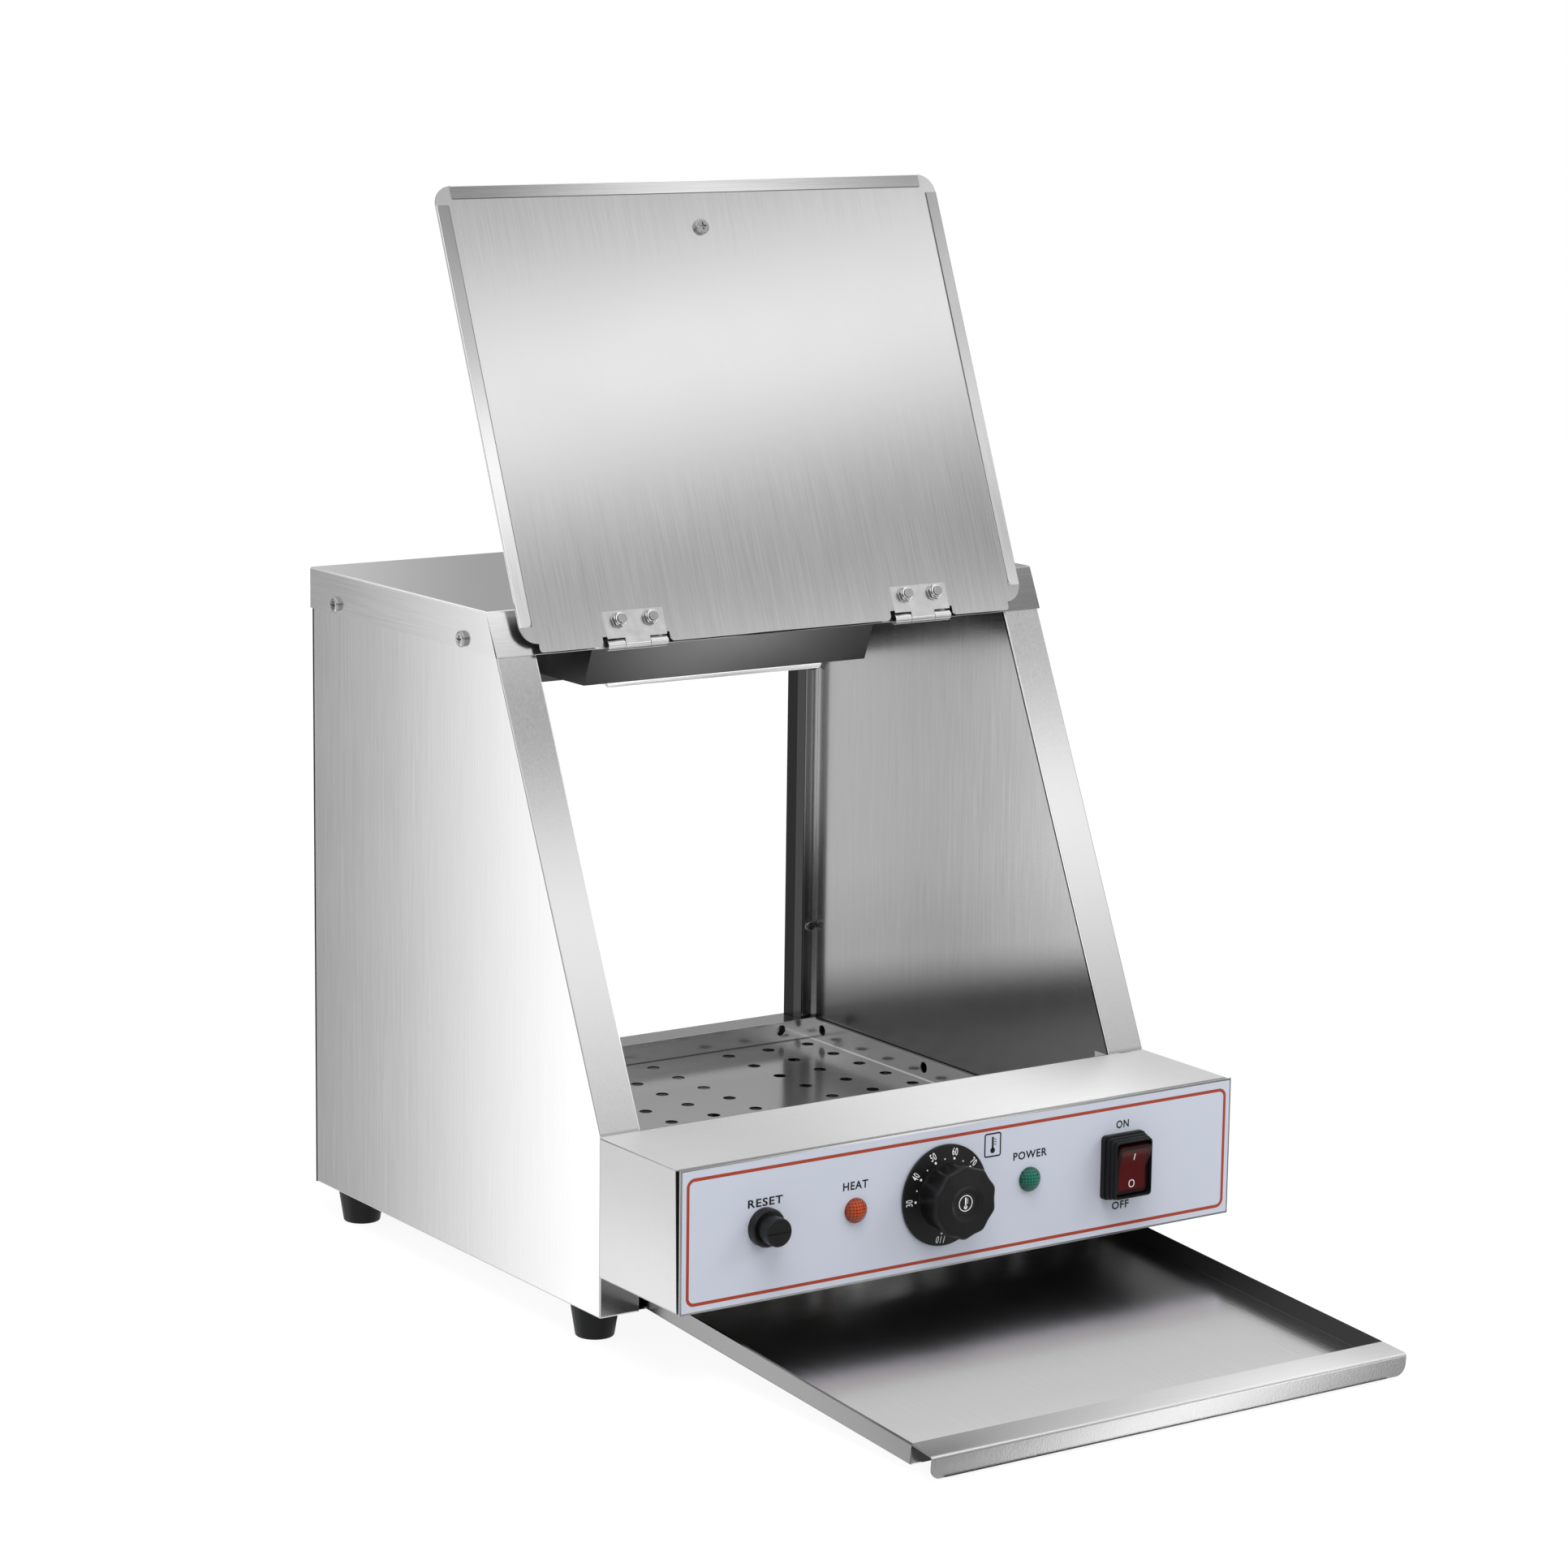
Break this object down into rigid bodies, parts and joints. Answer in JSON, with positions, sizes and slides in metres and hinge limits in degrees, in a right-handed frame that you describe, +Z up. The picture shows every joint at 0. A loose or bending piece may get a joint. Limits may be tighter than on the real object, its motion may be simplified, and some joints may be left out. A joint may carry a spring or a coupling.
{
  "type": "chip scuttle",
  "caption": "Counter-top heated chip scuttle: brushed steel cabinet with sloped hatch and hinged lid, perforated plate, heat lamp, control box and drawn-out crumb tray.",
  "frame": {"origin": "on the table, under the middle of the whole part as stored, with its lid open and its tray out", "axes": "+X to the right of someone who faces the controls, +Y to the back, +Z up"},
  "size_m": [0.3874, 0.6162, 0.6299],
  "materials": {
    "brushed_sheet": "brushed",
    "bright_steel": "bright",
    "black_plastic": "satin",
    "grey_plastic": "matt",
    "black_rubber": "matt",
    "overlay_film": "satin film",
    "copper_tube": "drawn",
    "orange_lens": "clear, ribbed",
    "green_lens": "clear, ribbed",
    "red_paddle": "clear",
    "heater_sheath": "heat-dulled",
    "lamp_glass": "clear",
    "reflector": "polished",
    "ceramic": "unglazed"
  },
  "bodies": {
    "cabinet": {"side_panel_left": "brushed_sheet", "side_panel_right": "brushed_sheet", "liner_left": "brushed_sheet", "liner_right": "brushed_sheet", "rear_post_left": "brushed_sheet", "rear_post_right": "brushed_sheet", "rear_frame": "brushed_sheet", "top_cover": "brushed_sheet", "front_wall": "brushed_sheet", "box_shell": "brushed_sheet", "fascia": "brushed_sheet", "fascia_overlay": "overlay_film", "thermostat_body": "black_plastic", "thermostat_bulb": "copper_tube", "reset_collar": "black_plastic", "cutout_body": "black_plastic", "heat_lamp_lens": "orange_lens", "power_lamp_lens": "green_lens", "indicator_bodies": "grey_plastic", "rocker_bezel": "black_rubber", "terminal_block": "grey_plastic", "fixed_leaf_left": "bright_steel", "fixed_leaf_right": "bright_steel", "hinge_pins": "bright_steel", "fixed_leaf_screws": "bright_steel", "fixed_leaf_nuts": "bright_steel", "plate_ledge_left": "brushed_sheet", "plate_ledge_right": "brushed_sheet", "base_heater": "heater_sheath", "heater_brackets": "brushed_sheet", "lamp_housing": "brushed_sheet", "lamp_bezel": "bright_steel", "lamp_glass": "lamp_glass", "lamp_reflector": "reflector", "lamp_holders": "ceramic", "lamp_tube": "lamp_glass", "tray_runner_left": "brushed_sheet", "tray_runner_right": "brushed_sheet", "feet": "black_rubber", "foot_screws": "bright_steel", "cover_screws": "bright_steel", "fascia_screw": "bright_steel", "frame_screws": "bright_steel", "cable_gland": "black_plastic", "gland_nut": "black_plastic"},
    "lid": {"lid_panel": "brushed_sheet", "lid_leaf_left": "bright_steel", "lid_leaf_right": "bright_steel", "lid_bolts": "bright_steel", "lid_nuts": "bright_steel", "lid_knob": "black_plastic", "lid_knob_screw": "bright_steel"},
    "tray": {"crumb_tray": "brushed_sheet"},
    "plate": {"perforated_plate": "brushed_sheet"},
    "thermostat_dial": {"thermostat_knob": "black_plastic", "thermostat_shaft": "bright_steel"},
    "reset": {"reset_button": "black_plastic"},
    "switch": {"rocker_paddle": "red_paddle"}
  },
  "joints": [
    {"name": "lid_hinge", "type": "hinge", "parent": "cabinet", "child": "lid", "pos_m": [0, 0.07312, 0.37543], "axis": [1, 0, 0], "range_deg": [0, 178]},
    {"name": "tray_slide", "type": "slide", "parent": "cabinet", "child": "tray", "axis": [0, 0.998, 0.0628], "range_m": [0, 0.1908]},
    {"name": "plate_lift", "type": "slide", "parent": "cabinet", "child": "plate", "axis": [0, 0, 1], "range_m": [0, 0.045]},
    {"name": "thermostat_turn", "type": "hinge", "parent": "cabinet", "child": "thermostat_dial", "pos_m": [-0.016, -0.11748, 0.0845], "axis": [0, -1, 0], "range_deg": [-93, 207]},
    {"name": "reset_press", "type": "slide", "parent": "cabinet", "child": "reset", "axis": [0, 1, 0], "range_m": [0, 0.0025], "stiffness_N_per_m": 800, "springref_m": -0.002},
    {"name": "switch_rock", "type": "hinge", "parent": "cabinet", "child": "switch", "pos_m": [0.11, -0.12568, 0.0835], "axis": [-1, 0, 0], "range_deg": [0, 16]}
  ]
}
